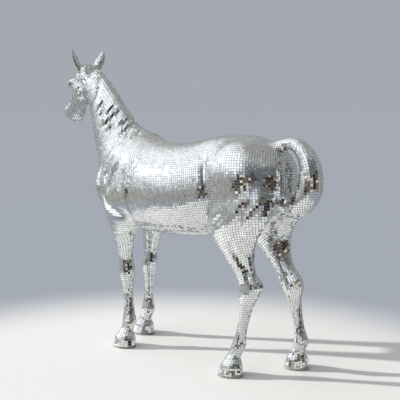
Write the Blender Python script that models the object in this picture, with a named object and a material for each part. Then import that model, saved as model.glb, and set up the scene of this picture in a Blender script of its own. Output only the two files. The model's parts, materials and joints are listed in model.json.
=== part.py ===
"""Standing horse statue, life size, cast in one piece: the shell that carries a mirror mosaic.

The horse faces -X, its left side is -Y, and its four flat soles stand on z = 0.
The tables hold the body's outlines in metres for a horse of TABLE_HEIGHT at the withers.
The statue is built at WITHERS_HEIGHT, so every outline, mass and groove scales with it.
"""

import math

import bmesh
import bpy
import numpy as np
from mathutils import Euler, Matrix, Vector

# Driving dimensions, in metres.
WITHERS_HEIGHT = 1.57
TABLE_HEIGHT = 1.57

# The head's length from poll to lips, and how it is carried.
HEAD_LENGTH = 0.565
HEAD_TURN = math.radians(25)
HEAD_DROP = math.radians(35)
POLL = (-1.035, 0.012, 1.985)

# Ears. The cup is how far the edges stand forwards of the middle, as a share of the half width.
EAR_LENGTH = 0.188
EAR_HALF_WIDTH = 0.042
EAR_THICKNESS = 0.035
EAR_CUP = 0.45
EAR_TIP_FORWARD = math.radians(12)

# The left ear, 1, and the right ear, -1: lean outwards, turn of the cup, root's distance from the crown.
EARS = {1: (math.radians(20), math.radians(62), 0.056), -1: (math.radians(28), math.radians(42), 0.050)}

# How finely the shells are fused and how many triangles the solid keeps.
VOXEL = 0.010
TRIANGLES = 9400
RING = 32

# Trunk sections: x, top z, bottom z, half width, z of the widest line.
TRUNK = [
    (-0.832, 1.215, 1.085, 0.045, 1.16),
    (-0.805, 1.300, 1.000, 0.110, 1.15),
    (-0.750, 1.390, 0.930, 0.175, 1.14),
    (-0.660, 1.478, 0.872, 0.222, 1.12),
    (-0.550, 1.550, 0.845, 0.245, 1.10),
    (-0.430, 1.562, 0.838, 0.265, 1.10),
    (-0.270, 1.490, 0.835, 0.293, 1.12),
    (-0.090, 1.483, 0.835, 0.312, 1.13),
    (0.080, 1.499, 0.845, 0.312, 1.14),
    (0.220, 1.532, 0.870, 0.290, 1.17),
    (0.360, 1.550, 0.915, 0.265, 1.20),
    (0.500, 1.552, 0.970, 0.255, 1.24),
    (0.620, 1.530, 1.010, 0.240, 1.26),
    (0.720, 1.485, 1.040, 0.210, 1.26),
    (0.790, 1.410, 1.080, 0.160, 1.26),
    (0.815, 1.340, 1.160, 0.080, 1.26),
]

# Neck sections: crest x and z, throat x and z, half width, y of the middle.
NECK = [
    (-0.330, 1.480, -0.725, 1.000, 0.165, 0.000),
    (-0.440, 1.555, -0.828, 1.180, 0.160, 0.000),
    (-0.548, 1.632, -0.892, 1.350, 0.130, 0.000),
    (-0.665, 1.768, -0.936, 1.500, 0.108, 0.000),
    (-0.770, 1.888, -0.972, 1.640, 0.096, 0.004),
    (-0.882, 1.975, -1.000, 1.745, 0.090, 0.010),
    (-0.960, 2.015, -1.045, 1.810, 0.080, 0.014),
]

# Head sections: distance from the poll as a share of the head's length, forehead, jaw, half width.
HEAD = [
    (-0.050, 0.048, -0.080, 0.054),
    (0.033, 0.092, -0.130, 0.080),
    (0.133, 0.092, -0.165, 0.092),
    (0.250, 0.086, -0.172, 0.098),
    (0.350, 0.082, -0.152, 0.098),
    (0.467, 0.066, -0.118, 0.078),
    (0.600, 0.054, -0.102, 0.066),
    (0.717, 0.050, -0.094, 0.065),
    (0.817, 0.056, -0.092, 0.075),
    (0.917, 0.052, -0.086, 0.081),
    (0.983, 0.026, -0.072, 0.064),
    (1.008, -0.008, -0.048, 0.038),
]

# Fore leg sections: z, front x, back x, half width.
FORE_LEG = [
    (1.160, -0.720, -0.420, 0.085),
    (1.060, -0.700, -0.380, 0.100),
    (0.980, -0.672, -0.360, 0.100),
    (0.915, -0.645, -0.365, 0.090),
    (0.850, -0.620, -0.400, 0.078),
    (0.770, -0.598, -0.435, 0.066),
    (0.690, -0.585, -0.455, 0.056),
    (0.630, -0.580, -0.462, 0.051),
    (0.575, -0.586, -0.456, 0.056),
    (0.525, -0.584, -0.460, 0.055),
    (0.475, -0.568, -0.468, 0.045),
    (0.410, -0.556, -0.472, 0.037),
    (0.310, -0.553, -0.472, 0.035),
    (0.240, -0.557, -0.464, 0.040),
    (0.195, -0.566, -0.452, 0.047),
    (0.160, -0.572, -0.466, 0.043),
    (0.128, -0.588, -0.488, 0.042),
    (0.106, -0.604, -0.488, 0.052),
    (0.088, -0.623, -0.476, 0.067),
    (0.045, -0.640, -0.469, 0.074),
    (0.000, -0.655, -0.464, 0.081),
    (-0.030, -0.665, -0.461, 0.084),
]

# Hind leg sections, as for the fore leg.
HIND_LEG = [
    (1.200, 0.380, 0.810, 0.110),
    (1.080, 0.340, 0.800, 0.118),
    (0.990, 0.325, 0.765, 0.112),
    (0.920, 0.350, 0.725, 0.100),
    (0.850, 0.420, 0.708, 0.084),
    (0.780, 0.495, 0.716, 0.071),
    (0.710, 0.565, 0.742, 0.059),
    (0.660, 0.610, 0.780, 0.052),
    (0.620, 0.638, 0.824, 0.051),
    (0.590, 0.653, 0.836, 0.055),
    (0.540, 0.672, 0.824, 0.058),
    (0.480, 0.697, 0.801, 0.050),
    (0.420, 0.712, 0.792, 0.041),
    (0.330, 0.718, 0.790, 0.036),
    (0.260, 0.717, 0.794, 0.039),
    (0.205, 0.708, 0.808, 0.048),
    (0.168, 0.698, 0.798, 0.044),
    (0.132, 0.682, 0.778, 0.042),
    (0.108, 0.666, 0.779, 0.052),
    (0.088, 0.651, 0.790, 0.066),
    (0.045, 0.634, 0.797, 0.074),
    (0.000, 0.619, 0.802, 0.081),
    (-0.030, 0.609, 0.805, 0.084),
]

# Poses: z, how far the section moves in x, y of its middle on the left side. The right legs take +y.
STANCES = {
    "left_fore": (FORE_LEG, -1, [(-0.05, 0.096, 0.204), (0.10, 0.092, 0.196), (0.20, 0.058, 0.162),
                                 (0.56, 0.032, 0.146), (0.92, 0.0, 0.165), (1.20, 0.0, 0.130)]),
    "right_fore": (FORE_LEG, 1, [(-0.05, -0.040, 0.135), (0.10, -0.040, 0.135), (0.20, -0.040, 0.135),
                                 (0.56, -0.025, 0.150), (0.92, 0.0, 0.165), (1.20, 0.0, 0.130)]),
    "left_hind": (HIND_LEG, -1, [(-0.05, -0.190, 0.216), (0.10, -0.190, 0.208), (0.20, -0.202, 0.172),
                                 (0.60, -0.105, 0.155), (1.00, 0.010, 0.185), (1.20, 0.0, 0.170)]),
    "right_hind": (HIND_LEG, 1, [(-0.05, 0.050, 0.190), (0.10, 0.050, 0.190), (0.20, 0.060, 0.165),
                                 (0.60, -0.010, 0.155), (1.00, 0.010, 0.185), (1.20, 0.0, 0.170)]),
}

# Tail sections along its arch: x, z, radius in the arch's plane, half width.
TAIL = [
    (0.660, 1.440, 0.050, 0.050),
    (0.735, 1.487, 0.048, 0.046),
    (0.800, 1.503, 0.044, 0.044),
    (0.864, 1.492, 0.048, 0.050),
    (0.922, 1.448, 0.056, 0.060),
    (0.962, 1.374, 0.067, 0.072),
    (0.972, 1.282, 0.077, 0.083),
    (0.952, 1.194, 0.084, 0.088),
    (0.902, 1.130, 0.082, 0.085),
    (0.850, 1.095, 0.068, 0.072),
    (0.790, 1.105, 0.050, 0.054),
    (0.750, 1.125, 0.036, 0.038),
]

# Muscle masses of one side: centre, radii, turn about Y in degrees. The other side mirrors them.
MUSCLES = [
    ((0.515, 0.130, 1.270), (0.235, 0.170, 0.255), 0),
    ((0.570, 0.150, 1.120), (0.190, 0.140, 0.230), 0),
    ((0.655, 0.115, 1.220), (0.140, 0.122, 0.230), -6),
    ((0.430, 0.190, 1.010), (0.090, 0.085, 0.120), 20),
    ((-0.580, 0.130, 1.290), (0.130, 0.095, 0.240), 35),
    ((-0.480, 0.165, 1.110), (0.150, 0.105, 0.160), -30),
    ((-0.685, 0.130, 1.160), (0.115, 0.105, 0.150), 0),
    ((-0.748, 0.072, 1.130), (0.086, 0.082, 0.135), 0),
]

# Masses of one side of the head, in the head's own axes: along the face as a share, to the side, up; radii.
HEAD_MASSES = [
    ((0.250, 0.060, -0.075), (0.100, 0.050, 0.092)),
    ((0.335, 0.094, 0.038), (0.048, 0.036, 0.036)),
    ((0.885, 0.064, -0.004), (0.042, 0.030, 0.038)),
    ((0.885, 0.022, -0.080), (0.042, 0.034, 0.020)),
]

# Creases of both flanks: points (x, z), half width, depth.
CREASES = [
    ([(0.270, 1.440), (0.315, 1.350), (0.342, 1.235), (0.345, 1.107), (0.345, 0.980)], 0.034, 0.014),
    ([(0.335, 0.925), (0.420, 0.985), (0.540, 1.070)], 0.026, 0.006),
    ([(0.690, 1.160), (0.630, 1.020), (0.600, 0.860)], 0.024, 0.009),
    ([(0.775, 1.330), (0.790, 1.140), (0.730, 1.000), (0.675, 0.860)], 0.024, 0.007),
    ([(0.520, 0.930), (0.575, 0.800), (0.665, 0.640)], 0.020, 0.008),
    ([(-0.279, 1.440), (-0.330, 1.340), (-0.352, 1.220), (-0.358, 1.080), (-0.353, 0.965)], 0.034, 0.013),
    ([(-0.700, 1.320), (-0.695, 1.200), (-0.665, 1.110), (-0.605, 1.040), (-0.472, 0.985), (-0.363, 0.950)],
     0.026, 0.010),
    ([(-0.555, 1.400), (-0.600, 1.290), (-0.640, 1.150)], 0.018, 0.009),
    ([(-0.490, 1.350), (-0.540, 1.220), (-0.600, 1.110)], 0.018, 0.010),
    ([(-0.418, 1.310), (-0.432, 1.120)], 0.026, 0.009),
    ([(-0.880, 1.975), (-0.850, 1.840), (-0.875, 1.720)], 0.020, 0.006),
]
LIP = 0.30

# The neck's folds: how many, how wide and deep, and the curves that their two ends follow.
NECK_FOLDS = 9
FOLD_WIDTH = 0.016
FOLD_DEPTH = 0.011
FOLD_LIP = 0.50
FOLD_BEND = (0.014, -0.006)
FOLD_TOPS = ((-0.800, 1.775), (-0.570, 1.730), (-0.438, 1.576))
FOLD_ENDS = ((-0.838, 1.685), (-0.800, 1.500), (-0.480, 1.440))

# How far the surface has to be turned to the side before a groove begins and before it has its full depth.
SIDEWAYS = (0.15, 0.50)

# The clefts between the buttocks and between the breasts, and where they rise from nothing and fade out.
SEAT_CLEFT = 0.030
SEAT_X = (0.60, 0.72, 0.84, 0.88)
SEAT_Z = (0.86, 1.00, 1.36, 1.42)
BREAST_CLEFT = 0.016
BREAST_X = (-0.94, -0.92, -0.74, -0.62)
BREAST_Z = (0.92, 1.00, 1.22, 1.30)
CLEFT_WIDTH = 0.026

# The part of the skin whose muscles melt together: above the elbows, behind the throat, ahead of the tail.
MELT_ABOVE = (0.80, 1.00)
MELT_THROAT_X = -1.00
MELT_THROAT_Z = 1.90
MELT_THROAT_SLOPE = 0.90
MELT_THROAT_BLEND = 0.12
MELT_TAIL = (0.80, 0.88)
MELT_STEPS = 55

# The groove in front of the tendons: depth as a share of the leg, height, place round the leg.
TENDON_GROOVE = 0.22
TENDON_HEIGHT = (0.36, 0.09)
TENDON_PLACE = (-0.45, 0.25)

# The box round the head in its own axes, inside which the face's lines are drawn.
FACE_START = (-0.03, 0.03)
FACE_HALF_WIDTH = 0.14
FACE_HALF_HEIGHT = 0.17
FACE_MIDDLE = -0.05

# Lines of the face: points as share along the face and height, half width, depth.
FACE_LINES = [
    ([(0.02, 0.03), (0.07, -0.07), (0.20, -0.150)], 0.014, 0.010),
    ([(0.250, 0.026), (0.335, 0.002), (0.425, 0.026)], 0.010, 0.008),
    ([(0.80, -0.058), (0.90, -0.046), (1.00, -0.040)], 0.009, 0.008),
    ([(0.900, 0.010), (0.925, -0.006), (0.955, -0.010)], 0.012, 0.012),
    ([(0.420, -0.040), (0.640, -0.044)], 0.020, 0.006),
]


def smooth_rows(rows, steps):
    """The table's rows read as a Catmull-Rom curve, with this many new rows to each old one."""
    rows = np.array(rows, float)
    ends = np.vstack([2 * rows[0] - rows[1], rows, 2 * rows[-1] - rows[-2]])
    t = np.linspace(0, 1, steps, endpoint=False)[:, None]
    spans = []
    for a, b, c, d in zip(ends, ends[1:], ends[2:], ends[3:]):
        bend = 2 * a - 5 * b + 4 * c - d + t * (3 * (b - c) + d - a)
        spans.append(b + 0.5 * t * (c - a + t * bend))
    return np.vstack(spans + [rows[-1:]])


def circle(count=RING):
    """The cosines and sines of equal steps round a circle."""
    angle = np.linspace(0, 2 * math.pi, count, endpoint=False)
    return np.cos(angle), np.sin(angle)


def shell(rings):
    """Points and faces of a closed shell through equal rings, turned so that its faces point outwards."""
    count, size, _ = rings.shape
    points = np.vstack([rings.reshape(-1, 3), rings[0].mean(0), rings[-1].mean(0)])
    i, j = np.meshgrid(np.arange(count - 1), np.arange(size), indexing="ij")
    near, side = i * size + j, i * size + (j + 1) % size
    sides = np.stack([near, side, side + size, near + size], -1).reshape(-1, 4)
    rim = np.arange(size)
    after = (rim + 1) % size
    last = (count - 1) * size
    first_cap = np.stack([np.full(size, count * size), after, rim], -1)
    last_cap = np.stack([np.full(size, count * size + 1), last + rim, last + after], -1)
    triangles = np.vstack([sides[:, [0, 1, 2]], sides[:, [0, 2, 3]], first_cap, last_cap])
    volume = np.linalg.det(points[triangles] - points.mean(0)).sum()
    return points, triangles if volume > 0 else triangles[:, ::-1]


def trunk():
    """The barrel, from the breast to the buttocks, as upright rings that are widest below their middle."""
    cos, sin = circle()
    rings = []
    for x, top, bottom, half, widest in smooth_rows(TRUNK, 5):
        reach = np.where(sin > 0, top - widest, widest - bottom)
        y = half * np.sign(cos) * np.abs(cos) ** 0.9
        rings.append(np.stack([np.full(RING, x), y, widest + reach * sin], -1))
    return shell(np.array(rings))


def neck():
    """The neck, as rings between the crest and the throat, narrower along the crest."""
    cos, sin = circle()
    rings = []
    for crest_x, crest_z, throat_x, throat_z, half, y in smooth_rows(NECK, 5):
        crest = np.array([crest_x, y, crest_z])
        throat = np.array([throat_x, y, throat_z])
        side = half * sin * (1 - 0.22 * cos)
        rings.append((crest + throat) / 2 + np.outer(cos, (crest - throat) / 2) + np.outer(side, (0, 1, 0)))
    return shell(np.array(rings))


def head_frame():
    """The matrix from the head's own axes, which are along the face, to its left and up, to the statue's."""
    flat = math.cos(HEAD_DROP)
    ahead = Vector((-math.cos(HEAD_TURN) * flat, math.sin(HEAD_TURN) * flat, -math.sin(HEAD_DROP)))
    left = Vector((-math.sin(HEAD_TURN), -math.cos(HEAD_TURN), 0))
    up = ahead.cross(left)
    return Matrix.Translation(POLL) @ Matrix((ahead, left, up)).transposed().to_4x4()


def placed(points, frame):
    """Points carried by a 4 by 4 matrix."""
    matrix = np.array(frame)
    return points @ matrix[:3, :3].T + matrix[:3, 3]


def head():
    """The skull and jaw, as rings across the face."""
    cos, sin = circle()
    rings = []
    for share, forehead, jaw, half in smooth_rows(HEAD, 5):
        middle, reach = (forehead + jaw) / 2, (forehead - jaw) / 2
        side = half * sin * (1 + 0.15 * cos)
        ring = np.stack([np.full(RING, share * HEAD_LENGTH), side, middle + reach * cos], -1)
        rings.append(placed(ring, head_frame()))
    return shell(np.array(rings))


def ellipsoid(centre, radii, turn_y=0.0):
    """A ball stretched to three radii and turned about Y by an angle in degrees."""
    cos, sin = circle(24)
    polar = np.linspace(0, math.pi, 17)[1:-1]
    rings = np.stack([np.outer(np.sin(polar), cos), np.outer(np.sin(polar), sin),
                      np.outer(np.cos(polar), np.ones(24))], -1)
    turned = rings * np.array(radii) @ np.array(Euler((0, math.radians(turn_y), 0)).to_matrix()).T
    return shell(turned + np.array(centre))


def muscles():
    """The muscle masses of both sides, and the cheeks, brows and nostrils."""
    for side in (-1, 1):
        for (x, y, z), radii, turn in MUSCLES:
            yield ellipsoid((x, y * side, z), radii, turn)
        for (share, y, z), radii in HEAD_MASSES:
            points, faces = ellipsoid((share * HEAD_LENGTH, y * side, z), radii)
            yield placed(points, head_frame()), faces


def leg(name):
    """One leg with its hoof, as level rings that are wider in front and grooved in front of the tendons."""
    table, side, stance = STANCES[name]
    stance = np.array(stance)
    cos, sin = circle()
    rings = []
    for z, front, back, half in smooth_rows(table, 4):
        shift = np.interp(z, stance[:, 0], stance[:, 1])
        y = side * np.interp(z, stance[:, 0], stance[:, 2])
        middle, reach = (front + back) / 2 + shift, (back - front) / 2
        at_height = math.exp(-((z - TENDON_HEIGHT[0]) / TENDON_HEIGHT[1]) ** 2)
        at_place = np.exp(-((cos - TENDON_PLACE[0]) / TENDON_PLACE[1]) ** 2)
        across = half * sin * (1 + 0.18 * cos) * (1 - TENDON_GROOVE * at_height * at_place)
        rings.append(np.stack([middle - reach * cos, y + across, np.full(RING, z)], -1))
    return shell(np.array(rings))


def tail():
    """The arched tail, which leaves the dock and curls back onto the thighs."""
    rows = smooth_rows(TAIL, 5)
    along = np.gradient(rows[:, :2], axis=0)
    along /= np.linalg.norm(along, axis=1)[:, None]
    cos, sin = circle()
    rings = []
    for (x, z, radius, half), (step_x, step_z) in zip(rows, along):
        across = np.array([-step_z, 0, step_x])
        rings.append(np.array([x, 0, z]) + np.outer(radius * cos, across) + np.outer(half * sin, (0, 1, 0)))
    return shell(np.array(rings))


def ear(side):
    """A leaf-shaped ear, cupped and turned outwards. side is 1 for the left ear and -1 for the right."""
    lean, turn, root_side = EARS[side]
    share = np.linspace(0, 1, 16)
    leaf = np.sin(math.pi * share ** 0.9) ** 0.6 + 0.45 * (1 - share) ** 4 + 0.10
    cos, sin = circle(20)
    rings = []
    for along, half in zip(share, EAR_HALF_WIDTH * leaf):
        across = half * cos
        thick = EAR_THICKNESS / 2 * (1.1 - 0.5 * along)
        cup = thick * sin + EAR_CUP * half * cos ** 2
        rings.append(np.stack([cup, across, np.full(20, along * EAR_LENGTH)], -1))
    points, faces = shell(np.array(rings))
    stand = Matrix.Rotation(-lean * side, 4, "X") @ Matrix.Rotation(turn * side, 4, "Z")
    points = placed(points, stand)
    heading = np.array([-math.cos(HEAD_TURN), math.sin(HEAD_TURN), 0])
    left = np.array([-math.sin(HEAD_TURN), -math.cos(HEAD_TURN), 0])
    up = np.array([0, 0, 1])
    ahead = heading * math.cos(EAR_TIP_FORWARD) - up * math.sin(EAR_TIP_FORWARD)
    rise = heading * math.sin(EAR_TIP_FORWARD) + up * math.cos(EAR_TIP_FORWARD)
    root = np.array(head_frame() @ Vector((0.020, root_side * side, 0.030)))
    return points @ np.array([ahead, left, rise]) + root, faces


def all_shells():
    """One mesh of every shell, overlapping where they join, at the statue's size."""
    shells = [trunk(), neck(), head(), tail(), ear(1), ear(-1), *map(leg, STANCES), *muscles()]
    starts = np.cumsum([0] + [len(points) for points, _ in shells])
    points = np.vstack([points for points, _ in shells]) * WITHERS_HEIGHT / TABLE_HEIGHT
    faces = np.vstack([faces + start for (_, faces), start in zip(shells, starts)])
    mesh = bpy.data.meshes.new("shells")
    mesh.from_pydata(points.tolist(), [], faces.tolist())
    return mesh


def new_object(name, mesh):
    """A new object of that mesh in the scene."""
    obj = bpy.data.objects.new(name, mesh)
    bpy.context.scene.collection.objects.link(obj)
    return obj


def fused(mesh):
    """The outer skin of the overlapping shells as one fine mesh."""
    source = new_object("shells", mesh)
    fuse = source.modifiers.new("fuse", "REMESH")
    fuse.mode = "VOXEL"
    fuse.voxel_size = VOXEL * WITHERS_HEIGHT / TABLE_HEIGHT
    bpy.context.view_layer.update()
    skin = bpy.data.meshes.new_from_object(source.evaluated_get(bpy.context.evaluated_depsgraph_get()))
    bpy.data.objects.remove(source)
    return skin


def read_points(mesh):
    """The mesh's points as an array."""
    points = np.empty(len(mesh.vertices) * 3)
    mesh.vertices.foreach_get("co", points)
    return points.reshape(-1, 3)


def read_normals(mesh):
    """The outward direction at each point of the mesh."""
    normals = np.empty(len(mesh.vertices) * 3)
    mesh.vertex_normals.foreach_get("vector", normals)
    return normals.reshape(-1, 3)


def step(value, low, high):
    """0 below low, 1 above high, and a smooth rise between them."""
    t = np.clip((value - low) / (high - low), 0, 1)
    return t * t * (3 - 2 * t)


def between(value, rise, full, fall, end):
    """0 outside rise to end, 1 from full to fall, and smooth between them."""
    return step(value, rise, full) * (1 - step(value, fall, end))


def body_share(points):
    """How much each point belongs to the trunk and neck, whose muscles melt together, and not to a limb."""
    x, z = points[:, 0], points[:, 2]
    throat = MELT_THROAT_X + MELT_THROAT_SLOPE * (z - MELT_THROAT_Z)
    return step(z, *MELT_ABOVE) * step(x, throat, throat + MELT_THROAT_BLEND) * (1 - step(x, *MELT_TAIL))


def relax(points, edges, share, steps):
    """Moves each point towards the mean of its neighbours, steps times, by its share."""
    a, b = edges.T
    count = np.bincount(np.concatenate([a, b]), minlength=len(points))[:, None]
    for _ in range(steps):
        total = np.zeros_like(points)
        np.add.at(total, a, points[b])
        np.add.at(total, b, points[a])
        points = points + 0.6 * share[:, None] * (total / count - points)
    return points


def near_line(flat, line):
    """How far each flat point is from a line of straight pieces, and how far along it, 0 to 1."""
    lengths = np.linalg.norm(np.diff(line, axis=0), axis=1)
    before = np.concatenate([[0], np.cumsum(lengths)])
    nearest = np.full(len(flat), np.inf)
    along = np.zeros(len(flat))
    for start, end, length, done in zip(line[:-1], line[1:], lengths, before):
        t = np.clip((flat - start) @ (end - start) / length ** 2, 0, 1)
        away = np.linalg.norm(flat - start - t[:, None] * (end - start), axis=1)
        closer = away < nearest
        nearest = np.where(closer, away, nearest)
        along = np.where(closer, (done + t * length) / before[-1], along)
    return nearest, along


def groove(flat, line, width, depth, lip=LIP):
    """How deep a groove along the line goes at each flat point: it fades at its ends and has a low lip."""
    away, along = near_line(flat, np.array(line, float))
    away = away / width
    fade = step(along, 0, 0.25) * (1 - step(along, 0.75, 1))
    return depth * (0.15 + 0.85 * fade) * (np.exp(-away ** 2) - lip * np.exp(-((away - 1.9) / 0.8) ** 2))


def bow(first, middle, last, t):
    """A point of the curve from first to last that bends towards middle."""
    first, middle, last = map(np.array, (first, middle, last))
    return (1 - t) ** 2 * first + 2 * t * (1 - t) * middle + t ** 2 * last


def neck_folds():
    """The slanting folds of the lower neck, fanned between an upper and a lower curve, some of them short."""
    for number, t in enumerate(np.linspace(0, 1, NECK_FOLDS)):
        upper, lower = bow(*FOLD_TOPS, t), bow(*FOLD_ENDS, t)
        top = 1 - 0.45 * (number % 3 == 1)
        bottom = 0.40 * (number % 3 == 2)
        first, last = lower + top * (upper - lower), lower + bottom * (upper - lower)
        yield [first, (first + last) / 2 + np.array(FOLD_BEND), last]


def carving(points, normals):
    """How far each point goes in along its normal for the folds, creases and features."""
    x, y, z = points.T
    flank = step(normals[:, 1] * np.sign(y), *SIDEWAYS)
    side_view = points[:, [0, 2]]
    depth = np.zeros(len(points))
    for line, width, deep in CREASES:
        depth += flank * groove(side_view, line, width, deep)
    for line in neck_folds():
        depth += flank * groove(side_view, line, FOLD_WIDTH, FOLD_DEPTH, FOLD_LIP)
    middle = np.exp(-(y / CLEFT_WIDTH) ** 2)
    depth += SEAT_CLEFT * middle * between(x, *SEAT_X) * between(z, *SEAT_Z)
    depth += BREAST_CLEFT * middle * between(x, *BREAST_X) * between(z, *BREAST_Z)
    face = placed(points, head_frame().inverted())
    inside = (np.abs(face[:, 1]) < FACE_HALF_WIDTH) & (np.abs(face[:, 2] - FACE_MIDDLE) < FACE_HALF_HEIGHT)
    turned = normals @ np.array(head_frame().to_3x3())
    cheek = step(turned[:, 1] * np.sign(face[:, 1]), *SIDEWAYS) * step(face[:, 0], *FACE_START) * inside
    for line, width, deep in FACE_LINES:
        drawn = np.array(line) * (HEAD_LENGTH, 1)
        depth += cheek * groove(face[:, [0, 2]], drawn, width, deep)
    return depth


def soled(horse):
    """Cuts the hooves level, so that their soles stand on the ground."""
    ground = new_object("ground", bpy.data.meshes.new("ground"))
    form = bmesh.new()
    bmesh.ops.create_cube(form, size=1)
    size = np.array([4, 2, 0.2]) * WITHERS_HEIGHT
    bmesh.ops.scale(form, vec=size, verts=form.verts)
    bmesh.ops.translate(form, vec=(0, 0, -size[2] / 2), verts=form.verts)
    form.to_mesh(ground.data)
    form.free()
    ground.hide_render = True
    ground.display_type = "WIRE"
    cut = horse.modifiers.new("soles", "BOOLEAN")
    cut.operation = "DIFFERENCE"
    cut.solver = "EXACT"
    cut.object = ground


def mirror_glass():
    """Silvered glass, the look of the tiles that cover the statue."""
    material = bpy.data.materials.new("mirror tiles")
    material.use_nodes = True
    shader = material.node_tree.nodes["Principled BSDF"]
    shader.inputs["Base Color"].default_value = (0.80, 0.82, 0.83, 1)
    shader.inputs["Metallic"].default_value = 1.0
    shader.inputs["Roughness"].default_value = 0.12
    return material


def main():
    """Fuses the shells, melts the muscles together, carves, thins the mesh and cuts the soles."""
    for old in list(bpy.data.objects):
        bpy.data.objects.remove(old)
    unit = WITHERS_HEIGHT / TABLE_HEIGHT
    skin = fused(all_shells())
    edges = np.empty(len(skin.edges) * 2, np.int32)
    skin.edges.foreach_get("vertices", edges)
    edges = edges.reshape(-1, 2)
    points = relax(read_points(skin), edges, np.ones(len(skin.vertices)), 3)
    points = relax(points, edges, body_share(points / unit), MELT_STEPS)
    skin.vertices.foreach_set("co", points.ravel())
    skin.update()
    normals = read_normals(skin)
    depth = carving(points / unit, normals) * unit
    points = relax(points - depth[:, None] * normals, edges, np.ones(len(points)), 1)
    skin.vertices.foreach_set("co", points.ravel())
    skin.update()
    horse = new_object("horse", skin)
    thin = horse.modifiers.new("thin", "DECIMATE")
    thin.ratio = TRIANGLES / (2 * len(points))
    thin.use_collapse_triangulate = True
    soled(horse)
    skin.materials.append(mirror_glass())
    bpy.context.view_layer.update()
    middle = sum((Vector(corner) for corner in horse.bound_box), Vector()) / 8
    horse.location = (-middle.x, -middle.y, 0)


if __name__ == "__main__":
    main()
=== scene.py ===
# %% [markdown]
# # A life-size horse covered in mirror tiles
# The real statue is a hollow cast horse. Someone spread a thin bed of pale grout over it and pressed
# thousands of small squares of mirror glass into that bed, row after row, following the muscles.
# Here the cast horse arrives as a frame of flat triangles. The lesson turns it into a smooth skin, carves
# the folds and creases that a hand feels between the tiles, and then lays the tiles one by one.

# %% Load the frame
import json
import math
import time

import bmesh
import bpy
import numpy as np
from mathutils import Matrix, Vector

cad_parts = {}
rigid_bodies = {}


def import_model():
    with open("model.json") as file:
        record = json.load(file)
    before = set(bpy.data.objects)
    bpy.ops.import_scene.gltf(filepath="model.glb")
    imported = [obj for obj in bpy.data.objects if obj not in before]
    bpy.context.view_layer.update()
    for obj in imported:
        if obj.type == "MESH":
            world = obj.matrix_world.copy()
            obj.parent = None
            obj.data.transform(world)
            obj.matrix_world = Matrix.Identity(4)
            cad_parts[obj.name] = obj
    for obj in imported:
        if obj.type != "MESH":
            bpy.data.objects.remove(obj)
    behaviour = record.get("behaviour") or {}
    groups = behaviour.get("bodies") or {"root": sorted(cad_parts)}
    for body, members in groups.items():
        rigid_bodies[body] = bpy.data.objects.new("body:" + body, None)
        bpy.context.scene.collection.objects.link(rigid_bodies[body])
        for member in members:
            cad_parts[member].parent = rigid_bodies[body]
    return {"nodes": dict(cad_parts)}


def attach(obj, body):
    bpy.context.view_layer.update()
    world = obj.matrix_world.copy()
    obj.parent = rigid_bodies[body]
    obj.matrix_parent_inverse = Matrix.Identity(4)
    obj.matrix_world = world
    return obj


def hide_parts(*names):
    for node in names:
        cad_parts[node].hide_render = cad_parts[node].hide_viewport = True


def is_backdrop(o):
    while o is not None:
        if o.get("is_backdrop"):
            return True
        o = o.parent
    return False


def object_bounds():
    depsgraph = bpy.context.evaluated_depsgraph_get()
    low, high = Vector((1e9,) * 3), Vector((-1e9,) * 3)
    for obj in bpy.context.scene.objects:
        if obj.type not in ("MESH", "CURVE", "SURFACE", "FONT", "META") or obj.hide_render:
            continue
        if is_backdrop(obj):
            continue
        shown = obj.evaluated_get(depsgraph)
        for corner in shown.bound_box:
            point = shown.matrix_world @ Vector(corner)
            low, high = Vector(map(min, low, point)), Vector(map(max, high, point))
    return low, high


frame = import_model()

started = time.time()
cad_low, cad_high = (np.array(corner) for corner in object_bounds())
print("the cast horse stands in", np.round(cad_high - cad_low, 3), "m")


# %% [markdown]
# ## Reading and writing meshes as arrays
# Everything below works on whole arrays of points. Blender hands a mesh over as flat lists with
# foreach_get, which is much quicker than walking through its vertices, and from_pydata takes new ones
# back. A modifier's result is read in the same way, from the evaluated copy of the object.

# %% Mesh helpers
def mesh_arrays(mesh):
    """The mesh's points (n, 3) and its faces' corner numbers, one row for each face, all equally long."""
    points = np.empty(len(mesh.vertices) * 3)
    mesh.vertices.foreach_get("co", points)
    corners = np.empty(len(mesh.loops), np.int64)
    mesh.loops.foreach_get("vertex_index", corners)
    return points.reshape(-1, 3), corners.reshape(len(mesh.polygons), -1)


def new_object(name, points, faces):
    """An object at the origin whose mesh has these points and faces."""
    mesh = bpy.data.meshes.new(name)
    mesh.from_pydata(points.tolist(), [], faces.tolist())
    mesh.update()
    made = bpy.data.objects.new(name, mesh)
    bpy.context.scene.collection.objects.link(made)
    return made


def evaluated_arrays(source):
    """Points and faces of an object as its modifiers leave it. The object is deleted afterwards."""
    bpy.context.view_layer.update()
    seen = source.evaluated_get(bpy.context.evaluated_depsgraph_get())
    points, faces = mesh_arrays(seen.to_mesh())
    seen.to_mesh_clear()
    bpy.data.objects.remove(source)
    return points, faces


# %% Measuring helpers
SHORTEST = 1e-12


def smooth_step(value, low, high):
    """0 below low, 1 above high, and 3t^2 - 2t^3 between them, which starts and ends level."""
    t = np.clip((value - low) / (high - low), 0, 1)
    return t * t * (3 - 2 * t)


def one_long(arrows):
    """The arrows (n, 3) divided by their lengths."""
    return arrows / np.maximum(np.linalg.norm(arrows, axis=1), SHORTEST)[:, None]


def diagonal_cross(points, quads):
    """The cross product of each quad's diagonals: it points outwards and is twice the quad's area long."""
    return np.cross(points[quads[:, 2]] - points[quads[:, 0]], points[quads[:, 3]] - points[quads[:, 1]])


def point_normals(points, quads):
    """The outward direction at each point: the sum of its faces' diagonal cross products, made 1 long."""
    across = np.repeat(diagonal_cross(points, quads), 4, axis=0)
    return one_long(np.stack([np.bincount(quads.ravel(), across[:, k], len(points)) for k in range(3)], -1))


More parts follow.
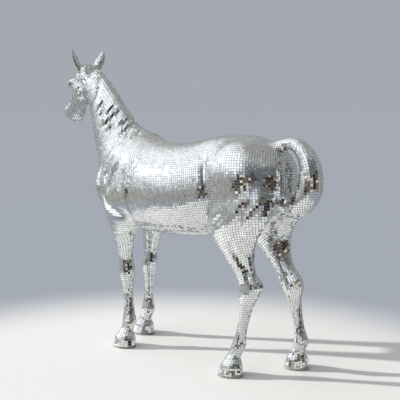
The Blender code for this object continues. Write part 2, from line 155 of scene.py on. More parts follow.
# %% [markdown]
# ## A skin fine enough to carve
# The frame's triangles are about 4 cm wide, so in a mirror each of them would show as a facet.
# A voxel remesh lays an even net of small quads over the whole horse, ears and tail included.
# It keeps the facets, though, so the net is relaxed afterwards. Plain averaging would shrink the legs.
# Taubin's trick takes one step inwards and then a slightly longer one outwards, over and over: ripples
# shorter than a hand fade away and the volume stays.

# %% Remesh
VOXEL = 0.0094
MERGE_WITHIN = 1e-6


def merged_copy(node):
    """A copy of a CAD node's mesh with its loose triangles joined into one closed skin."""
    form = bmesh.new()
    form.from_mesh(frame["nodes"][node].data)
    bmesh.ops.remove_doubles(form, verts=form.verts, dist=MERGE_WITHIN)
    mesh = bpy.data.meshes.new(node + "_merged")
    form.to_mesh(mesh)
    form.free()
    made = bpy.data.objects.new(node + "_merged", mesh)
    bpy.context.scene.collection.objects.link(made)
    return made


fine = merged_copy("horse")
net = fine.modifiers.new("net", "REMESH")
net.mode = "VOXEL"
net.voxel_size = VOXEL
skin, quads = evaluated_arrays(fine)
print("skin:", len(quads), "quads after", round(time.time() - started, 1), "s")


# %% Smoothing
def neighbour_pairs(quads):
    """Each edge of the net once, as two columns of point numbers."""
    edges = np.concatenate([quads[:, [k, (k + 1) % 4]] for k in range(4)])
    return np.unique(np.sort(edges, axis=1), axis=0)


def average_step(points, pairs, share):
    """Moves each point by its share of the way to the mean of its neighbours."""
    a, b = pairs.T
    count = np.bincount(pairs.ravel(), minlength=len(points))
    total = np.stack([np.bincount(a, points[b, k], len(points)) + np.bincount(b, points[a, k], len(points))
                      for k in range(3)], -1)
    return points + share[:, None] * (total / count[:, None] - points)


def relaxed(points, pairs, free, rounds, inward=0.60, outward=-0.62):
    """Taubin smoothing: a step towards the neighbours' mean and a longer one away from it, rounds times."""
    for _ in range(rounds):
        points = average_step(points, pairs, inward * free)
        points = average_step(points, pairs, outward * free)
    return points


pairs = neighbour_pairs(quads)
print("edges of the skin:", len(pairs))


# %% [markdown]
# ## Where the ears stand
# The ears are the thinnest part, and smoothing would melt them. So their place has to be known first: a
# root on the crown, three axes of their own, and a share that says how far up an ear a point lies.
# With it the ears get 3 rounds of smoothing and everything else gets 30.

# %% Ear axes
HEAD_TURN = math.radians(25)
HEAD_DROP = math.radians(35)
POLL = np.array((-0.823, 0.012, 1.985))
EAR_LENGTH = 0.188
EAR_HALF_WIDTH = 0.042
EAR_HALF_THICKNESS = 0.0175
EAR_CUP = 0.45
EAR_TIP_FORWARD = math.radians(12)

# The root's place from the poll: along the face, and up out of the crown.
EAR_ROOT = (0.020, 0.030)

# The left ear, 1, and the right ear, -1: lean outwards, turn of the cup, root's distance from the middle.
EAR_POSES = {1: (math.radians(20), math.radians(62), 0.056), -1: (math.radians(28), math.radians(42), 0.050)}

# The room that belongs to an ear: on each side, out of its cup, and up to this many times its length.
EAR_ROOM = (0.065, 0.055, 1.15)


def ear_frame(side):
    """An ear's root, and its own axes as rows: out of its cup, across it, and up to its tip."""
    turn_cos, turn_sin = math.cos(HEAD_TURN), math.sin(HEAD_TURN)
    drop_cos, drop_sin = math.cos(HEAD_DROP), math.sin(HEAD_DROP)
    muzzle_way = np.array((-turn_cos * drop_cos, turn_sin * drop_cos, -drop_sin))
    left = np.array((-turn_sin, -turn_cos, 0))
    crown_way = np.cross(muzzle_way, left)
    heading, up = np.array((-turn_cos, turn_sin, 0)), np.array((0, 0, 1))
    tip_cos, tip_sin = math.cos(EAR_TIP_FORWARD), math.sin(EAR_TIP_FORWARD)
    upright = np.array([heading * tip_cos - up * tip_sin, left, heading * tip_sin + up * tip_cos])
    lean, turn, root_side = EAR_POSES[side]
    stand = Matrix.Rotation(-lean * side, 3, "X") @ Matrix.Rotation(turn * side, 3, "Z")
    root = POLL + EAR_ROOT[0] * muzzle_way + root_side * side * left + EAR_ROOT[1] * crown_way
    return root, np.array(stand).T @ upright


def ear_share(points, side):
    """How far up the ear each point is, 0 at the root and 1 at the tip, or -1 for points beside it."""
    root, axes = ear_frame(side)
    cup, across, along = ((points - root) @ axes.T).T
    beside, before, above = EAR_ROOM
    near = (np.abs(across) < beside) & (np.abs(cup) < before) & (along > 0) & (along < above * EAR_LENGTH)
    return np.where(near, along / EAR_LENGTH, -1.0)


def either_ear_share(points):
    """The larger of a point's shares up the two ears."""
    return np.maximum(ear_share(points, 1), ear_share(points, -1))


print("the ears stand at", [np.round(ear_frame(side)[0], 3).tolist() for side in (1, -1)])

# %% Relax the skin
ROUNDS_EVERYWHERE = 3
ROUNDS_OFF_THE_EARS = 27

# Heights over which the soles let go of the ground, and shares over which the ears begin.
SOLES_END = (0.004, 0.02)
EARS_BEGIN = (0.02, 0.25)

off_soles = smooth_step(skin[:, 2], *SOLES_END)
off_ears = 1 - smooth_step(either_ear_share(skin), *EARS_BEGIN)
skin = relaxed(skin, pairs, off_soles, ROUNDS_EVERYWHERE)
skin = relaxed(skin, pairs, off_soles * off_ears, ROUNDS_OFF_THE_EARS)
print("points of the ears:", (off_ears < 0.5).sum())


# %% [markdown]
# ## Carving
# The sculptor gave the neck a fan of slanting folds, and drew a crease around each big muscle.
# A groove is a dip that follows a line drawn on the horse's side: every point of the skin goes in by a
# bell curve of its distance from that line, and a low lip beside the dip catches the light.
# The lines are drawn in side view, x along the horse and z up, and hold for both flanks.

# %% Groove tools
# The shares of a groove's length by which it has its full depth and from which it fades again.
FADE_IN, FADE_OUT = 0.3, 0.7

# Where the lip stands beside the groove and how broad it is, both in widths of the groove.
LIP_PLACE, LIP_BREADTH = 1.9, 0.8


def near_line(flat, line):
    """How far each flat point is from a line of straight pieces, and how far along it, 0 to 1."""
    lengths = np.linalg.norm(np.diff(line, axis=0), axis=1)
    before = np.concatenate([[0], np.cumsum(lengths)])
    nearest = np.full(len(flat), np.inf)
    along = np.zeros(len(flat))
    for start, end, length, done in zip(line[:-1], line[1:], lengths, before):
        t = np.clip((flat - start) @ (end - start) / length ** 2, 0, 1)
        away = np.linalg.norm(flat - start - t[:, None] * (end - start), axis=1)
        closer = away < nearest
        nearest = np.where(closer, away, nearest)
        along = np.where(closer, (done + t * length) / before[-1], along)
    return nearest, along


def groove(flat, line, width, depth, lip):
    """A dip of exp(-d^2) along the line, d widths away from it, less a lip of the same form at its side."""
    away, along = near_line(flat, np.array(line, float))
    away = away / width
    fade = smooth_step(along, 0, FADE_IN) * (1 - smooth_step(along, FADE_OUT, 1))
    return depth * fade * (np.exp(-away ** 2) - lip * np.exp(-((away - LIP_PLACE) / LIP_BREADTH) ** 2))


def bow(first, middle, last, t):
    """A point of the curve from first to last that bends towards middle, a quadratic Bezier curve."""
    first, middle, last = map(np.array, (first, middle, last))
    return (1 - t) ** 2 * first + 2 * t * (1 - t) * middle + t ** 2 * last


# %% Where the creases run
# Each crease: its points (x, z), half width and depth.
CREASES = [
    ([(0.482, 1.440), (0.527, 1.350), (0.554, 1.235), (0.557, 1.107), (0.557, 0.980)], 0.020, 0.006),
    ([(0.547, 0.925), (0.632, 0.985), (0.752, 1.070)], 0.018, 0.003),
    ([(0.902, 1.160), (0.842, 1.020), (0.812, 0.860)], 0.018, 0.004),
    ([(0.987, 1.330), (1.002, 1.140), (0.942, 1.000), (0.887, 0.860)], 0.018, 0.004),
    ([(0.732, 0.930), (0.787, 0.800), (0.877, 0.640)], 0.016, 0.004),
    ([(-0.067, 1.440), (-0.118, 1.340), (-0.140, 1.220), (-0.146, 1.080), (-0.141, 0.965)], 0.020, 0.006),
    ([(-0.488, 1.320), (-0.483, 1.200), (-0.453, 1.110), (-0.393, 1.040), (-0.260, 0.985), (-0.151, 0.950)],
     0.018, 0.005),
    ([(-0.343, 1.400), (-0.388, 1.290), (-0.428, 1.150)], 0.014, 0.002),
    ([(-0.278, 1.350), (-0.328, 1.220), (-0.388, 1.110)], 0.014, 0.002),
    ([(-0.668, 1.975), (-0.638, 1.840), (-0.663, 1.720)], 0.014, 0.004),
]
CREASE_LIP = 0.3
print("creases on each flank:", len(CREASES))

# %% Where the folds run
# The curves that the folds' upper and lower ends follow, each by its first, middle and last point (x, z).
FOLD_TOPS = ((-0.588, 1.775), (-0.358, 1.730), (-0.226, 1.576))
FOLD_ENDS = ((-0.626, 1.685), (-0.588, 1.500), (-0.268, 1.440))
FOLD_COUNT = 9
FOLD_WIDTH = 0.014
FOLD_DEPTH = 0.0065
FOLD_LIP = 0.5
FOLD_BEND = np.array([0.014, -0.006])
SHORT_ABOVE = 0.45
SHORT_BELOW = 0.40


def neck_folds():
    """The folds' lines, as a fan. Of each three, one is whole, one short above and one short below."""
    for number, t in enumerate(np.linspace(0, 1, FOLD_COUNT)):
        upper, lower = bow(*FOLD_TOPS, t), bow(*FOLD_ENDS, t)
        top = 1 - SHORT_ABOVE * (number % 3 == 1)
        bottom = SHORT_BELOW * (number % 3 == 2)
        first, last = lower + top * (upper - lower), lower + bottom * (upper - lower)
        yield np.array([first, (first + last) / 2 + FOLD_BEND, last])


fold_lines = list(neck_folds())
print("folds on each side of the neck:", len(fold_lines))


# %% [markdown]
# ## Melting the coarse folds
# The frame has the neck's folds already, but its flat triangles are nearly as wide as a fold, so those folds
# are lumps. Fine folds on top of them would look torn. Near the folds' lines, plain averaging melts the
# lumps first. A neck is thick enough that the little it shrinks doesn't show.

# %% Melt
MELT_ROUNDS = 12
MELT_SHARE = 0.6
MELT_REACH = 4 * FOLD_WIDTH

from_fold = np.min([near_line(skin[:, [0, 2]], line)[0] for line in fold_lines], axis=0)
near_fold = 1 - smooth_step(from_fold, FOLD_WIDTH, MELT_REACH)
for _ in range(MELT_ROUNDS):
    skin = average_step(skin, pairs, MELT_SHARE * near_fold)
print("points melted:", (near_fold > 0.5).sum())

# %% Carve
# How far the skin has to face sideways before a groove begins and before it has its full depth.
SIDEWAYS = (0.15, 0.50)

side_view = skin[:, [0, 2]]
facing = point_normals(skin, quads)
flank = smooth_step(facing[:, 1] * np.sign(skin[:, 1]), *SIDEWAYS)
dip = np.zeros(len(skin))
for line, width, depth in CREASES:
    dip += flank * groove(side_view, line, width, depth, CREASE_LIP)
for line in fold_lines:
    dip += flank * groove(side_view, line, FOLD_WIDTH, FOLD_DEPTH, FOLD_LIP)
skin = skin - dip[:, None] * facing
skin = np.clip(skin, cad_low, cad_high)
print("carved: deepest", round(dip.max() * 1000, 1), "mm, highest lip", round(-dip.min() * 1000, 1), "mm")


# %% [markdown]
# ## Rows of tiles that follow the muscles
# A mosaic worker lays rows that run with the form and splits a row where the surface widens.
# QuadriFlow does the same thing: it finds the main directions of a closed skin and draws a net of nearly
# square quads along them, one quad for each tile. Where a row ends, three or five quads meet at a corner.
# QuadriFlow refuses edges shorter than a ten-thousandth of a unit, so it gets a much enlarged skin.

# %% Draw the net
TILE_PITCH = 0.0158
ENLARGED = 10_000


def tile_net(points, faces, pitch):
    """Corner points and quads of an even net whose sides measure about one pitch."""
    rows = new_object("rows", points * ENLARGED, faces)
    bpy.ops.object.select_all(action="DESELECT")
    rows.select_set(True)
    bpy.context.view_layer.objects.active = rows
    areas = np.linalg.norm(diagonal_cross(points, faces), axis=1) / 2
    done = bpy.ops.object.quadriflow_remesh(mode="FACES", target_faces=int(areas.sum() / pitch ** 2), seed=1,
                                            use_mesh_symmetry=False)
    if "FINISHED" not in done:
        raise RuntimeError("QuadriFlow drew no net")
    net_points, net_quads = mesh_arrays(rows.data)
    bpy.data.objects.remove(rows)
    return net_points / ENLARGED, net_quads


net_points, net_quads = tile_net(skin, quads, TILE_PITCH)
print("net:", len(net_quads), "tiles after", round(time.time() - started, 1), "s")


# %% [markdown]
# ## Pressing one surface onto another
# Tiles lie on the skin, and grout is pressed against the tiles. Both are the same act: each point of a soft
# surface moves to the nearest place of a hard one. The Shrinkwrap modifier does it for all points at once.

# %% Press
def pressed(points, faces, onto_points, onto_faces):
    """The points moved to the nearest places of another surface."""
    soft = new_object("soft", points, faces)
    form = new_object("form", onto_points, onto_faces)
    press = soft.modifiers.new("press", "SHRINKWRAP")
    press.target = form
    moved, _ = evaluated_arrays(soft)
    bpy.data.objects.remove(form)
    return moved


# %% [markdown]
# ## Rows of tiles for the ears
# An ear ends in a point, and a net of even squares would round it off. So each ear gets rows of its own:
# rings that climb from just above the root to the tip, as wide as a leaf at each height, and pressed onto
# the skin. A tiler puts fewer tiles into a shorter ring, so every ring has its own count of them, and the
# rings share no corners.

# %% Rows of an ear
EAR_ROWS = 11
EAR_START = 0.17
EAR_END = 0.985
FEWEST_IN_A_RING = 5
GIRTH_STEPS = 60


def ear_ring(side, t, angle):
    """Points round the ear at height t, from 0 to 1.

    Its half width is that of a leaf, sin(pi t^0.9)^0.6, with a flare of 0.45 (1 - t)^4 at the root and a
    blunt 0.10 all along. Its edges stand forwards of its middle by the cup times cos(angle)^2.
    """
    leaf = math.sin(math.pi * t ** 0.9) ** 0.6 + 0.45 * (1 - t) ** 4 + 0.10
    half = EAR_HALF_WIDTH * leaf
    cup = EAR_HALF_THICKNESS * (1.1 - 0.5 * t) * np.sin(angle) + EAR_CUP * half * np.cos(angle) ** 2
    local = np.stack([cup, half * np.cos(angle), np.full(len(angle), t * EAR_LENGTH)], -1)
    root, axes = ear_frame(side)
    return local @ axes + root


def ear_net(side):
    """Points and quads of one ear's rows, each row a closed ring with as many quads as fit at one pitch."""
    points, rings, start = [], [], 0
    heights = np.linspace(EAR_START, EAR_END, EAR_ROWS)
    for low, high in zip(heights[:-1], heights[1:]):
        fine_ring = ear_ring(side, (low + high) / 2, np.linspace(0, 2 * math.pi, GIRTH_STEPS))
        girth = np.linalg.norm(np.diff(fine_ring, axis=0), axis=1).sum()
        count = max(FEWEST_IN_A_RING, round(girth / TILE_PITCH))
        angle = np.linspace(0, 2 * math.pi, count, endpoint=False) + math.pi / count
        points += [ear_ring(side, low, angle), ear_ring(side, high, angle)]
        near = start + np.arange(count)
        after = start + (np.arange(count) + 1) % count
        rings.append(np.stack([near, after, after + count, near + count], -1))
        start += 2 * count
    points, rings = np.concatenate(points), np.concatenate(rings)
    root, axes = ear_frame(side)
    arm = points[rings].mean(1) - root
    arm -= np.outer(arm @ axes[2], axes[2])
    if (diagonal_cross(points, rings) * arm).sum() < 0:
        rings = rings[:, ::-1]
    return pressed(points, rings, skin, quads), rings


ear_nets = [ear_net(side) for side in (1, -1)]
print("ear rows:", [len(rings) for _, rings in ear_nets], "tiles")


# %% [markdown]
# ## One tile
# Each tile is a flat square of glass: eight corners and six sides. Its outline is the net's quad with half
# a joint taken off all round. A quad on a curved skin is slightly bent, so the corners are first pressed
# flat onto the plane through their middle. Nobody presses twenty thousand tiles equally deep, so
# each one also leans a degree or two its own way. That lean is what makes a mirror mosaic glitter. On the
# small curves of the head and the ears a stiff square can't sit true, so the tiles lean much more there.

# %% Tile shapes
JOINT = 0.0027
SHORTEST_SIDE = 1e-6
MOST_TAKEN_OFF = 0.35


def tile_tops(points, quads, joint, lean):
    """The four top corners of each tile (n, 4, 3) and its outward direction (n, 3).

    A corner is the quad's own surface at u and v, the shares that half a joint takes of its two sides. It
    then moves along the outward direction, by its arm's part along a random arrow, less its height over
    the plane.
    """
    a, b, c, d = (points[quads[:, k]] for k in range(4))
    wide = (np.linalg.norm(b - a, axis=1) + np.linalg.norm(c - d, axis=1)) / 2
    tall = (np.linalg.norm(d - a, axis=1) + np.linalg.norm(c - b, axis=1)) / 2
    u, v = (np.minimum(joint / 2 / np.maximum(side, SHORTEST_SIDE), MOST_TAKEN_OFF)[:, None]
            for side in (wide, tall))
    corners = [(1 - s) * (1 - t) * a + s * (1 - t) * b + s * t * c + (1 - s) * t * d
               for s, t in ((u, v), (1 - u, v), (1 - u, 1 - v), (u, 1 - v))]
    tops = np.stack(corners, 1)
    out = one_long(np.cross(tops[:, 2] - tops[:, 0], tops[:, 3] - tops[:, 1]))
    arms = tops - tops.mean(1, keepdims=True)
    height = np.einsum("nkj,nj->nk", arms, out)
    leaning = rng.normal(0, lean, (len(quads), 1, 3))
    tilt = (arms * leaning).sum(-1) - height
    return tops + tilt[..., None] * out[:, None, :], out


def tile_boxes(tops, out, depth):
    """Closed boxes under the tops: points (8n, 3) and quads (6n, 4), tops first."""
    count = len(tops)
    points = np.concatenate([tops, tops - depth * out[:, None, :]], 1).reshape(-1, 3)
    sides = np.array([[0, 1, 2, 3], [7, 6, 5, 4], [0, 4, 5, 1], [1, 5, 6, 2], [2, 6, 7, 3], [3, 7, 4, 0]])
    faces = (np.arange(count)[:, None, None] * 8 + sides).reshape(-1, 4)
    return points, faces


# %% Lay the tiles
LEAN = math.radians(1.9)
HEAD_LEAN = math.radians(5.5)
RIM_HEIGHT = 0.013

# The slanting plane between neck and head: a point (x, z) of it, and how far it goes back for each metre up.
HEAD_PLANE = (-0.72, 1.85)
HEAD_PLANE_SLOPE = 0.5

rng = np.random.default_rng(7)


def on_the_head(points):
    """Which points lie ahead of the plane between neck and head."""
    return points[:, 0] < HEAD_PLANE[0] + HEAD_PLANE_SLOPE * (points[:, 2] - HEAD_PLANE[1])


lean_of_each = np.where(on_the_head(net_points[net_quads].mean(1)), HEAD_LEAN, LEAN)[:, None, None]
tops, out = tile_tops(net_points, net_quads, JOINT, lean_of_each)
on_ear = either_ear_share(tops.mean(1)) > EAR_START
laid = (tops[..., 2].min(1) > RIM_HEIGHT) & ~on_ear
ear_tiles = [tile_tops(points, rings, JOINT, HEAD_LEAN) for points, rings in ear_nets]
tops = np.concatenate([tops[laid]] + [ear_tops for ear_tops, _ in ear_tiles])
out = np.concatenate([out[laid]] + [ear_out for _, ear_out in ear_tiles])
print("tiles laid:", len(tops))


# %% [markdown]
# ## Mirror glass, cut edges and grout
# Silvered glass is a nearly perfect mirror, so its shader is metal with very little roughness. Each tile
# keeps one random number in a face attribute: it makes some tiles a little darker or duller, as old
# silvering is. The cut sides of the glass are greenish grey. The grout is a chalky pale cement.

# %% Materials
def new_material(name):
    """A new node material, its node tree and its shader."""
    material = bpy.data.materials.new(name)
    material.use_nodes = True
    tree = material.node_tree
    return material, tree, tree.nodes["Principled BSDF"]


def mirror_material():
    """Silver glass whose colour and roughness vary from tile to tile."""
    material, tree, shader = new_material("mirror_glass")
    shader.inputs["Metallic"].default_value = 1.0
    chance = tree.nodes.new("ShaderNodeAttribute")
    chance.attribute_name = "tile_chance"
    colour = tree.nodes.new("ShaderNodeValToRGB")
    colour.color_ramp.elements[0].color = (0.74, 0.76, 0.76, 1)
    colour.color_ramp.elements[1].color = (0.96, 0.97, 0.98, 1)
    dull = tree.nodes.new("ShaderNodeMapRange")
    dull.inputs["To Min"].default_value = 0.02
    dull.inputs["To Max"].default_value = 0.09
    tree.links.new(chance.outputs["Fac"], colour.inputs["Fac"])
    tree.links.new(chance.outputs["Fac"], dull.inputs["Value"])
    tree.links.new(colour.outputs["Color"], shader.inputs["Base Color"])
    tree.links.new(dull.outputs["Result"], shader.inputs["Roughness"])
    return material


def edge_material():
    """The cut side of mirror glass, grey with a trace of green."""
    material, tree, shader = new_material("cut_glass_edge")
    shader.inputs["Base Color"].default_value = (0.42, 0.47, 0.45, 1)
    shader.inputs["Roughness"].default_value = 0.25
    return material


def grout_material():
    """Pale cement with faint blotches and a sandy bump."""
    material, tree, shader = new_material("grout")
    place = tree.nodes.new("ShaderNodeTexCoord")
    blotch = tree.nodes.new("ShaderNodeTexNoise")
    blotch.inputs["Scale"].default_value = 9
    blotch.inputs["Detail"].default_value = 6
    colour = tree.nodes.new("ShaderNodeValToRGB")
    colour.color_ramp.elements[0].position = 0.35
    colour.color_ramp.elements[0].color = (0.25, 0.25, 0.235, 1)
    colour.color_ramp.elements[1].position = 0.70
    colour.color_ramp.elements[1].color = (0.36, 0.355, 0.33, 1)
    sand = tree.nodes.new("ShaderNodeTexNoise")
    sand.inputs["Scale"].default_value = 900
    rough = tree.nodes.new("ShaderNodeBump")
    rough.inputs["Strength"].default_value = 0.3
    rough.inputs["Distance"].default_value = 0.0004
    tree.links.new(place.outputs["Object"], blotch.inputs["Vector"])
    tree.links.new(place.outputs["Object"], sand.inputs["Vector"])
    tree.links.new(blotch.outputs["Fac"], colour.inputs["Fac"])
    tree.links.new(colour.outputs["Color"], shader.inputs["Base Color"])
    tree.links.new(sand.outputs["Fac"], rough.inputs["Height"])
    tree.links.new(rough.outputs["Normal"], shader.inputs["Normal"])
    shader.inputs["Roughness"].default_value = 0.85
    return material


mirror = mirror_material()
cut_edge = edge_material()
grout = grout_material()
print("finishes:", mirror.name, cut_edge.name, grout.name)


# %% [markdown]
# ## The grouted body
# A flat tile bridges a narrow crease, and grout fills the hollow under it. So the body is the carved skin
# pressed against the net of tiles, then drawn in by the height that the tiles stand proud. Only the hoof
# rims, where no tile sits, stay out at full size.

# %% The grouted body
PROUD = 0.0009

# Shares of an ear: how soon the body follows its tiles above the root, and where it leaves them at the tip.
EAR_ROOT_BARE = 0.05
EAR_TIP_BARE = 0.90

# How far below and above the rim's top edge the body goes over from its full size to the tiles' bed.
RIM_BLEND = (0.004, 0.002)

form_points, form_quads = net_points, net_quads[~on_ear]
for ear_points, rings in ear_nets:
    form_quads = np.concatenate([form_quads, rings + len(form_points)])
    form_points = np.concatenate([form_points, ear_points])
bedded = pressed(skin, quads, form_points, form_quads)
up_the_ear = either_ear_share(skin)
unlaid = (np.exp(-((up_the_ear - EAR_START) / EAR_ROOT_BARE) ** 2)
          + smooth_step(up_the_ear, EAR_TIP_BARE, EAR_END))
bedded = bedded + np.minimum(unlaid, 1)[:, None] * (skin - bedded)
above_rim = smooth_step(skin[:, 2], RIM_HEIGHT - RIM_BLEND[0], RIM_HEIGHT + RIM_BLEND[1])[:, None]
bedded = bedded - PROUD * point_normals(bedded, quads)
body_points = np.clip(skin + above_rim * (bedded - skin), cad_low, cad_high)
body = new_object("grouted_body", body_points, quads)
body.data.materials.append(grout)
body.data.polygons.foreach_set("use_smooth", np.ones(len(quads), bool))
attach(body, "root")
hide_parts("horse")
print("grouted body:", 2 * len(quads), "triangles")


# %% [markdown]
# ## The tile fields
# A tiler works in fields that can be finished in a day: head, neck, barrel, hindquarters, the legs and the
# tail. Here each field is one piece, so that no piece grows too heavy. Every tile is a closed box, whose top
# is mirror and whose other sides are cut glass.

# %% Where the fields end
# The tail is whatever lies behind and above either of these points (x, z).
TAIL_POINTS = ((1.03, 1.0), (0.93, 1.44))
LEGS_END_Z = 0.86
HIND_LEGS_START_X = 0.2

# The slanting plane between neck and barrel: a point (x, z) of it, and how far it rises for each metre back.
NECK_PLANE = (-0.55, 1.25)
NECK_PLANE_SLOPE = 0.9
NECK_END_X = -0.1
BARREL_END_X = 0.5

middle = tops.mean(1)
x, y, z = middle.T
on_tail = np.any([(x > behind) & (z > above) for behind, above in TAIL_POINTS], axis=0)
on_legs = (z < LEGS_END_Z) & ~on_tail
FIELDS = {
    "tiles_tail": on_tail,
    "tiles_fore_legs": on_legs & (x < HIND_LEGS_START_X),
    "tiles_hind_legs": on_legs & (x >= HIND_LEGS_START_X),
    "tiles_head": ~on_legs & ~on_tail & on_the_head(middle),
}
taken = np.any(list(FIELDS.values()), axis=0)
above_plane = z > NECK_PLANE[1] + NECK_PLANE_SLOPE * (x - NECK_PLANE[0])
FIELDS["tiles_neck"] = ~taken & above_plane & (x < NECK_END_X)
taken = taken | FIELDS["tiles_neck"]
FIELDS["tiles_barrel"] = ~taken & (x < BARREL_END_X)
FIELDS["tiles_hindquarters"] = ~taken & (x >= BARREL_END_X)
print("fields:", len(FIELDS), "with", sum(chosen.sum() for chosen in FIELDS.values()), "tiles")

# %% Glue the fields on
TILE_DEPTH = 0.0022
SIDES = 6

for name, chosen in FIELDS.items():
    points, faces = tile_boxes(tops[chosen], out[chosen], TILE_DEPTH)
    field = new_object(name, np.clip(points, cad_low, cad_high), faces)
    field.data.materials.append(mirror)
    field.data.materials.append(cut_edge)
    cut_sides = np.tile([0] + [1] * (SIDES - 1), chosen.sum())
    field.data.polygons.foreach_set("material_index", cut_sides)
    chance = field.data.attributes.new("tile_chance", "FLOAT", "FACE")
    chance.data.foreach_set("value", np.repeat(rng.random(chosen.sum()), SIDES))
    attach(field, "root")
    print(name, chosen.sum(), "tiles,", 2 * SIDES * chosen.sum(), "triangles")


# %% [markdown]
# ## The floor
# The real floor is pale and sunlit round the horse, and falls off into the cool grey of the room.
# One round sheet does that: near its bright middle it is pale paint lit by the sun, and further out it fades
# with the distance into a plain glow of the room's grey. That glow is painted shade for the floor out of the
# sun, so the sunlit pool's edge is painted and no horizon shows. The belly and the insides of the legs
# reflect the bright part, which is why they look white.

# %% Floor
FLOOR_RADIUS = 4.3
FLOOR_CORNERS = 96
# The painted pool of sunlight: its middle, the radius where the painted shade begins and where it is full.
PAINTED_SUN_POOL_MIDDLE = (0.52, -0.61, 0)
PAINTED_SUN_POOL_RADIUS = 1.55
PAINTED_SHADE_RADIUS = 2.85
ROOM_GREY = (0.375, 0.405, 0.462)


def floor_with_painted_shade_material():
    """Pale paint lit by the sun near the bright middle, then a glow of painted shade in the room's grey: a
    ramp.
    """
    material, tree, shader = new_material("floor_paint_and_painted_shade")
    shader.inputs["Base Color"].default_value = (0.70, 0.70, 0.69, 1)
    shader.inputs["Roughness"].default_value = 0.7
    place = tree.nodes.new("ShaderNodeTexCoord")
    shifted = tree.nodes.new("ShaderNodeVectorMath")
    shifted.operation = "SUBTRACT"
    shifted.inputs[1].default_value = PAINTED_SUN_POOL_MIDDLE
    away = tree.nodes.new("ShaderNodeVectorMath")
    away.operation = "LENGTH"
    fade = tree.nodes.new("ShaderNodeMapRange")
    fade.interpolation_type = "SMOOTHSTEP"
    fade.inputs["From Min"].default_value = PAINTED_SUN_POOL_RADIUS
    fade.inputs["From Max"].default_value = PAINTED_SHADE_RADIUS
    # Painted shade: the far floor glows in the room's grey, though it is no lamp.
    painted_shade_glow = tree.nodes.new("ShaderNodeEmission")
    painted_shade_glow.inputs["Color"].default_value = (*ROOM_GREY, 1)
    blend = tree.nodes.new("ShaderNodeMixShader")
    tree.links.new(place.outputs["Object"], shifted.inputs[0])
    tree.links.new(shifted.outputs["Vector"], away.inputs[0])
    tree.links.new(away.outputs["Value"], fade.inputs["Value"])
    tree.links.new(fade.outputs["Result"], blend.inputs["Fac"])
    tree.links.new(shader.outputs["BSDF"], blend.inputs[1])
    tree.links.new(painted_shade_glow.outputs["Emission"], blend.inputs[2])
    tree.links.new(blend.outputs["Shader"], tree.nodes["Material Output"].inputs["Surface"])
    return material


def disc(radius, count):
    """The corner points of a regular polygon on the ground, and its one face."""
    angle = np.linspace(0, 2 * math.pi, count, endpoint=False)
    points = np.stack([radius * np.cos(angle), radius * np.sin(angle), np.zeros(count)], -1)
    return points, np.arange(count)[None, :]


floor = new_object("floor", *disc(FLOOR_RADIUS, FLOOR_CORNERS))
floor.data.materials.append(floor_with_painted_shade_material())
floor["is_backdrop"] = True
print("floor:", 2 * FLOOR_RADIUS, "m across, white up to", PAINTED_SUN_POOL_RADIUS, "m from its bright middle")


# %% [markdown]
# ## The room in the mirrors
# A mirror shows the room more than itself, so the room is half of the material. The camera sees only a
# plain grey backdrop, but the tiles see a studio: a tall bright window on the left, grey walls that darken
# in the corner behind the camera, a pale ceiling, and at eye level in that corner a dark strip of doors and
# furniture, partly warm. The strip is made of random cells, because a row of tiles breaks such a view up
# into dark and light squares. Both rooms live in the world shader, and the ray's kind chooses between them.

# %% World helpers
world = bpy.data.worlds.new("room")
bpy.context.scene.world = world
world.use_nodes = True
room = world.node_tree


def feed(socket, value):
    """Gives an input a link, or a plain value."""
    if isinstance(value, bpy.types.NodeSocket):
        room.links.new(value, socket)
    else:
        socket.default_value = value


def sum_node(operation, *values):
    """A Math node of the world with these values or links as its inputs. Returns its output."""
    node = room.nodes.new("ShaderNodeMath")
    node.operation = operation
    for socket, value in zip(node.inputs, values):
        feed(socket, value)
    return node.outputs[0]


def ramp_node(value, low, high):
    """0 at low and 1 at high, with a smooth rise."""
    node = room.nodes.new("ShaderNodeMapRange")
    node.interpolation_type = "SMOOTHSTEP"
    node.inputs["From Min"].default_value = low
    node.inputs["From Max"].default_value = high
    feed(node.inputs["Value"], value)
    return node.outputs["Result"]


def mix_node(share, first, second):
    """A colour between first and second, each of them a colour or a link."""
    node = room.nodes.new("ShaderNodeMix")
    node.data_type = "RGBA"
    feed(node.inputs["Factor"], share)
    feed(node.inputs["A"], first)
    feed(node.inputs["B"], second)
    return node.outputs["Result"]


# %% Which way a ray looks
looking = room.nodes.new("ShaderNodeTexCoord").outputs["Generated"]
split = room.nodes.new("ShaderNodeSeparateXYZ")
room.links.new(looking, split.inputs[0])
east, north, up = split.outputs
level = sum_node("SQRT", sum_node("MAXIMUM", sum_node("SUBTRACT", 1.0, sum_node("POWER", up, 2.0)), 1e-4))


def towards(way):
    """The cosine of the compass angle between the looking direction and a way."""
    along = sum_node("ADD", sum_node("MULTIPLY", east, way[0]), sum_node("MULTIPLY", north, way[1]))
    return sum_node("DIVIDE", along, level)


# %% Walls, ceiling and window
# Ways on the compass as (x, y), and colours as the tiles see them. In the ramps, up is the sine of the
# height angle: 0 is the horizon and 1 is overhead.
WINDOW_WAY = (-0.74, -0.67)
DARK_WAY = (0.74, -0.67)
CEILING_FAR = (0.40, 0.405, 0.41, 1)
CEILING_BY_WINDOW = (0.80, 0.80, 0.79, 1)
WALL_GREY = (0.38, 0.39, 0.40, 1)
CORNER_DARK = (0.15, 0.165, 0.18, 1)
BAND_BROWN = (0.37, 0.355, 0.32, 1)
WINDOW_LIGHT = (1.22, 1.28, 1.36, 1)

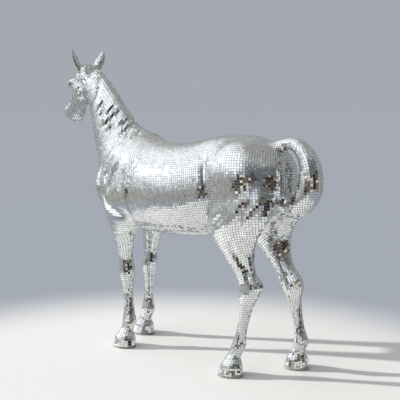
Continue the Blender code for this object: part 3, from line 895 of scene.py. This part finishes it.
ceiling = mix_node(ramp_node(towards(WINDOW_WAY), -0.5, 0.7), CEILING_FAR, CEILING_BY_WINDOW)
walls = mix_node(ramp_node(up, 0.20, 0.80), WALL_GREY, ceiling)
far_corner = sum_node("MULTIPLY", ramp_node(towards(DARK_WAY), 0.25, 0.80), ramp_node(up, 0.80, 0.40))
walls = mix_node(far_corner, walls, CORNER_DARK)
walls = mix_node(ramp_node(up, -0.04, -0.20), walls, BAND_BROWN)
window_share = sum_node("MULTIPLY", ramp_node(towards(WINDOW_WAY), 0.15, 0.82), ramp_node(up, -0.06, 0.38))
window_share = sum_node("MULTIPLY", window_share, ramp_node(up, 0.99, 0.72))

# %% Doors and furniture
# Each colour of the strip, after the random number from which it is used.
THING_COLOURS = [(0.00, (0.012, 0.012, 0.014)), (0.38, (0.055, 0.040, 0.030)), (0.62, (0.17, 0.12, 0.085)),
                 (0.78, (0.16, 0.05, 0.04)), (0.81, (0.38, 0.32, 0.25)), (0.92, (0.72, 0.66, 0.54))]

cells = room.nodes.new("ShaderNodeTexVoronoi")
cells.inputs["Scale"].default_value = 9
room.links.new(looking, cells.inputs["Vector"])
cell_chance = room.nodes.new("ShaderNodeSeparateColor")
room.links.new(cells.outputs["Color"], cell_chance.inputs[0])
things = room.nodes.new("ShaderNodeValToRGB")
things.color_ramp.interpolation = "CONSTANT"
while len(things.color_ramp.elements) < len(THING_COLOURS):
    things.color_ramp.elements.new(0.5)
for stop, (position, colour) in zip(things.color_ramp.elements, THING_COLOURS):
    stop.position = position
    stop.color = (*colour, 1)
room.links.new(cell_chance.outputs[0], things.inputs["Fac"])
strip = sum_node("MULTIPLY", ramp_node(up, 0.26, 0.14), ramp_node(towards(DARK_WAY), 0.35, 0.65))
studio = mix_node(window_share, mix_node(strip, walls, things.outputs["Color"]), WINDOW_LIGHT)

# %% Backdrop
BACKDROP_TOP = (0.380, 0.395, 0.435, 1)

seen_by = room.nodes.new("ShaderNodeLightPath")
backdrop = mix_node(ramp_node(up, -0.14, 0.12), (*ROOM_GREY, 1), BACKDROP_TOP)
shown = mix_node(seen_by.outputs["Is Camera Ray"], studio, backdrop)
room.links.new(shown, room.nodes["Background"].inputs["Color"])
print("the room is made of", len(room.nodes), "nodes")


# %% [markdown]
# ## Sunlight
# The sun comes in low, from ahead of the horse and from its left, so the legs throw long shadows back over
# the floor. A sun lamp has parallel rays. Its disc is three times as wide here as the real one, which
# softens the far ends of the shadows. The plain view transform keeps the floor and the glints white.

# %% Sunlight
SUN_COMES_FROM = Vector((-0.79, -0.46, 0.41))
sun_data = bpy.data.lights.new("sun", "SUN")
sun_data.energy = 4.6
sun_data.angle = math.radians(1.6)
sun_data.color = (1.0, 0.97, 0.92)
sun = bpy.data.objects.new("sun", sun_data)
sun.rotation_euler = (-SUN_COMES_FROM).to_track_quat("-Z", "Y").to_euler()
bpy.context.scene.collection.objects.link(sun)
bpy.context.scene.view_settings.view_transform = "Standard"
print("the sun stands", round(math.degrees(math.asin(SUN_COMES_FROM.normalized().z))), "degrees high")


# %% [markdown]
# ## The camera
# The horse was photographed from behind its left flank, at a standing adult's eye height, with a short
# telephoto lens. The place, the two angles and the lens were solved from the hooves and the back line.

# %% Camera
CAMERA_PLACE = (3.887, -4.254, 1.749)
CAMERA_YAW = math.radians(40.21)
CAMERA_PITCH = math.radians(-6.74)
LENS = 73.4
camera_data = bpy.data.cameras.new("camera")
camera_data.lens = LENS
camera = bpy.data.objects.new("camera", camera_data)
camera.location = CAMERA_PLACE
camera.rotation_euler = (math.pi / 2 + CAMERA_PITCH, 0, CAMERA_YAW)
bpy.context.scene.collection.objects.link(camera)
bpy.context.scene.camera = camera
print("the camera is", round(math.hypot(*CAMERA_PLACE[:2]), 2), "m from the horse's middle")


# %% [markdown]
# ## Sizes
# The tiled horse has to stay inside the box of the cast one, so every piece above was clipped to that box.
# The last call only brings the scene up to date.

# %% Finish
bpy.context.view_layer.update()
print("all made in", round(time.time() - started, 1), "s")
